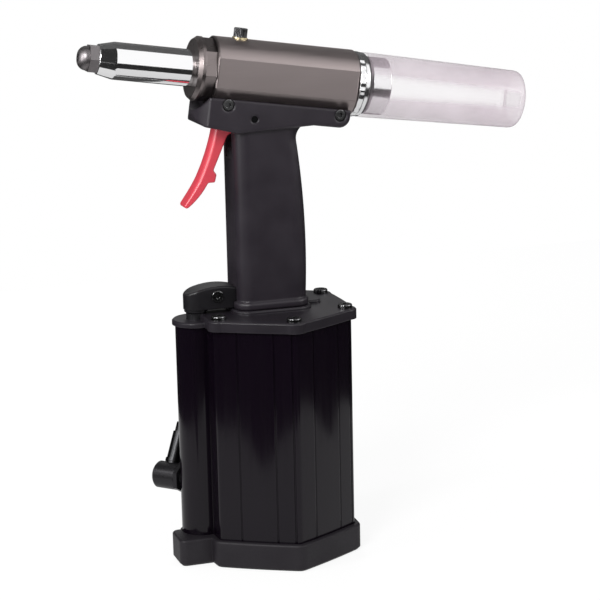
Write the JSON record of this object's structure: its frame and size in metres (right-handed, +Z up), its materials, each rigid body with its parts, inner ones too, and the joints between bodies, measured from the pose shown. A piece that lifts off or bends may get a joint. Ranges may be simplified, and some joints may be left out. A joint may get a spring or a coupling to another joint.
{
  "type": "pneumatic riveter",
  "caption": "Hand-held air-over-oil blind riveter: upright air cylinder on a boot, grip with trigger, tilted hydraulic head, pulling nose and clear mandrel collector.",
  "frame": {"origin": "on the air cylinder's axis at the boot's sole", "axes": "+Z up along the cylinder, -X towards the nose, -Y to the side the picture shows"},
  "size_m": [0.273, 0.1044, 0.3179],
  "materials": {
    "boot_rubber": "matt, fine moulded grain",
    "cylinder_black": "gloss black anodised extrusion",
    "cover_black": "satin black",
    "handle_plastic": "satin moulded black",
    "head_grey": "warm grey anodised, satin",
    "nose_chrome": "polished",
    "ring_chrome": "polished, with a knurled edge",
    "tip_steel": "turned",
    "trigger_red": "semi-gloss",
    "washer_brass": "plain",
    "screw_steel": "blackened",
    "inlet_metal": "satin black",
    "nipple_steel": "turned",
    "collector_clear": "clear",
    "ground_steel": "ground",
    "spring_steel": "drawn wire",
    "inner_aluminium": "turned",
    "bush_brass": "turned",
    "seal_rubber": "smooth"
  },
  "bodies": {
    "housing": {"base_boot": "boot_rubber", "air_cylinder": "cylinder_black", "upper_cover": "cover_black", "handle": "handle_plastic", "valve_chest": "handle_plastic", "hydraulic_head": "head_grey", "front_collar": "head_grey", "nose_housing": "nose_chrome", "collector_spigot": "ring_chrome", "nosepiece": "tip_steel", "bleed_washer": "washer_brass", "cover_screws": "screw_steel", "saddle_screws": "screw_steel", "trigger_pin": "screw_steel", "rocker_pin": "screw_steel", "bleed_screw": "screw_steel", "bottom_circlip": "screw_steel", "inlet_stub": "inlet_metal", "valve_neck": "inlet_metal", "return_spring": "spring_steel", "valve_spring": "spring_steel", "bottom_cover": "inner_aluminium", "rear_cap": "inner_aluminium", "oil_tube": "inner_aluminium", "duct_plug": "inner_aluminium", "ram_gland": "bush_brass", "rod_bush": "bush_brass", "bottom_o_ring": "seal_rubber", "piston_bumper": "seal_rubber", "cover_o_ring": "seal_rubber", "ram_seal": "seal_rubber", "neck_o_ring": "seal_rubber", "rod_seal": "seal_rubber", "rear_cap_o_ring": "seal_rubber", "collector_o_ring": "seal_rubber", "inlet_o_ring": "seal_rubber"},
    "air_ram": {"air_piston": "inner_aluminium", "air_piston_seal": "seal_rubber", "ram": "ground_steel", "ram_nut": "ground_steel"},
    "pull_group": {"hydraulic_piston": "ground_steel", "hydraulic_seal": "seal_rubber", "mandrel_guide": "inner_aluminium", "jaw_case": "ground_steel", "pusher_spring": "spring_steel"},
    "jaw_1": {"jaw_1": "ground_steel"},
    "jaw_2": {"jaw_2": "ground_steel"},
    "jaw_3": {"jaw_3": "ground_steel"},
    "pusher": {"jaw_pusher": "ground_steel"},
    "trigger": {"trigger": "trigger_red"},
    "push_rod": {"push_rod": "ground_steel"},
    "rocker": {"valve_rocker": "ground_steel"},
    "stem": {"valve_stem": "ground_steel"},
    "vacuum_ring": {"vacuum_ring": "ring_chrome"},
    "collector": {"mandrel_collector": "collector_clear"},
    "inlet": {"inlet_swivel": "inlet_metal", "inlet_nipple": "nipple_steel"}
  },
  "joints": [
    {"name": "ram_slide", "type": "slide", "parent": "housing", "child": "air_ram", "axis": [0, 0, 1], "range_m": [0, 0.0928]},
    {"name": "pull_slide", "type": "slide", "parent": "housing", "child": "pull_group", "axis": [0.9893, 0, -0.1461], "range_m": [0, 0.019], "stiffness_N_per_m": 3000, "springref_m": -0.01, "deforming": ["return_spring"]},
    {"name": "jaw_1_slide", "type": "slide", "parent": "pull_group", "child": "jaw_1", "axis": [-0.9829, -0.1129, 0.1451], "range_m": [0, 0.003]},
    {"name": "jaw_2_slide", "type": "slide", "parent": "pull_group", "child": "jaw_2", "axis": [-0.9972, 0.0565, 0.0484], "range_m": [0, 0.003]},
    {"name": "jaw_3_slide", "type": "slide", "parent": "pull_group", "child": "jaw_3", "axis": [-0.9687, 0.0565, 0.2419], "range_m": [0, 0.003]},
    {"name": "pusher_slide", "type": "slide", "parent": "pull_group", "child": "pusher", "axis": [-0.9893, 0, 0.1461], "range_m": [0, 0.003], "deforming": ["pusher_spring"]},
    {"name": "trigger_pivot", "type": "hinge", "parent": "housing", "child": "trigger", "pos_m": [-0.01296, 0, 0.2664], "axis": [0, -1, 0], "range_deg": [0, 10], "stiffness_Nm_per_rad": 0.5, "springref_deg": -11.46},
    {"name": "push_rod_slide", "type": "slide", "parent": "housing", "child": "push_rod", "axis": [0, 0, -1], "range_m": [0, 0.0025]},
    {"name": "rocker_pivot", "type": "hinge", "parent": "housing", "child": "rocker", "pos_m": [-0.0353, 0, 0.1614], "axis": [0, 1, 0], "range_deg": [0, 9.6]},
    {"name": "stem_slide", "type": "slide", "parent": "housing", "child": "stem", "axis": [0, 0, 1], "range_m": [0, 0.00205], "deforming": ["valve_spring"]},
    {"name": "vacuum_ring_turn", "type": "hinge", "parent": "housing", "child": "vacuum_ring", "pos_m": [0, 0, 0.28915], "axis": [0.9893, 0, -0.1461], "range_deg": [0, 60]},
    {"name": "collector_pull", "type": "slide", "parent": "housing", "child": "collector", "axis": [0.9893, 0, -0.1461], "range_m": [0, 0.03]},
    {"name": "inlet_turn", "type": "hinge", "parent": "housing", "child": "inlet", "pos_m": [-0.0465, 0, 0.047], "axis": [-0.682, 0.7314, 0], "range_deg": [-150, 100]}
  ],
  "couplings": [
    {"joint": "pull_slide", "follows": "ram_slide", "ratio": 0.20455},
    {"joint": "jaw_1_slide", "follows": "ram_slide", "ratio": 0.0323},
    {"joint": "jaw_2_slide", "follows": "ram_slide", "ratio": 0.0323},
    {"joint": "jaw_3_slide", "follows": "ram_slide", "ratio": 0.0323},
    {"joint": "pusher_slide", "follows": "ram_slide", "ratio": 0.0321},
    {"joint": "trigger_pivot", "follows": "push_rod_slide", "rad_per_m": 69.78},
    {"joint": "rocker_pivot", "follows": "push_rod_slide", "rad_per_m": 66.64},
    {"joint": "stem_slide", "follows": "push_rod_slide", "ratio": 0.7997}
  ]
}
